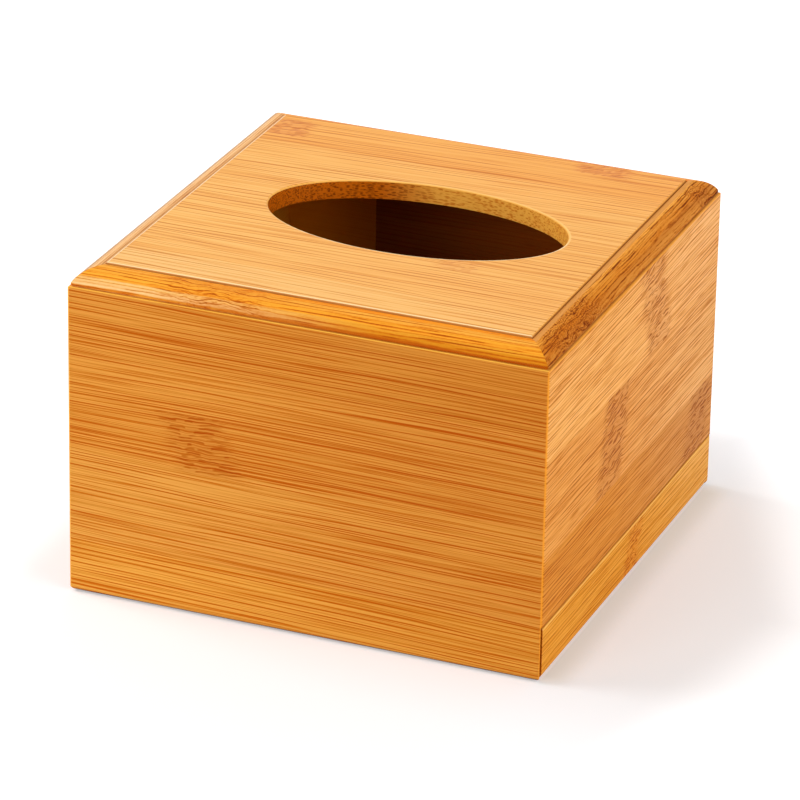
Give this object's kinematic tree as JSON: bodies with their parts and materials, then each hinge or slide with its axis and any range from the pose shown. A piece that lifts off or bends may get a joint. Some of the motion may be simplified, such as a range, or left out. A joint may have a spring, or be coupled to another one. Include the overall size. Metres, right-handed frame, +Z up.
{
  "type": "tissue box cover",
  "caption": "Square lacquered bamboo tissue box with mitred walls, a rounded mitred rim, a raised top board with an oval hole, and a base that slides out sideways with its rail.",
  "frame": {"origin": "on the rest plane, under the middle of the box", "axes": "+X to the right, the way the base slides out; +Y to the back; +Z up through the oval hole"},
  "size_m": [0.115, 0.115, 0.08],
  "materials": {
    "wall_bamboo": "satin lacquer over golden bamboo strips",
    "rim_bamboo": "satin lacquer over orange bamboo strips",
    "top_bamboo": "satin lacquer over pale honey bamboo strips",
    "base_bamboo": "satin lacquer over yellow bamboo strips"
  },
  "bodies": {
    "box": {"front_wall": "wall_bamboo", "back_wall": "wall_bamboo", "left_wall": "wall_bamboo", "right_wall": "wall_bamboo", "top_board": "top_bamboo", "rim_front": "rim_bamboo", "rim_back": "rim_bamboo", "rim_left": "rim_bamboo", "rim_right": "rim_bamboo"},
    "sliding_base": {"base_board": "base_bamboo", "base_rail": "base_bamboo"}
  },
  "joints": [
    {"name": "base_slide", "type": "slide", "parent": "box", "child": "sliding_base", "axis": [1, 0, 0], "range_m": [0, 0.095]}
  ]
}
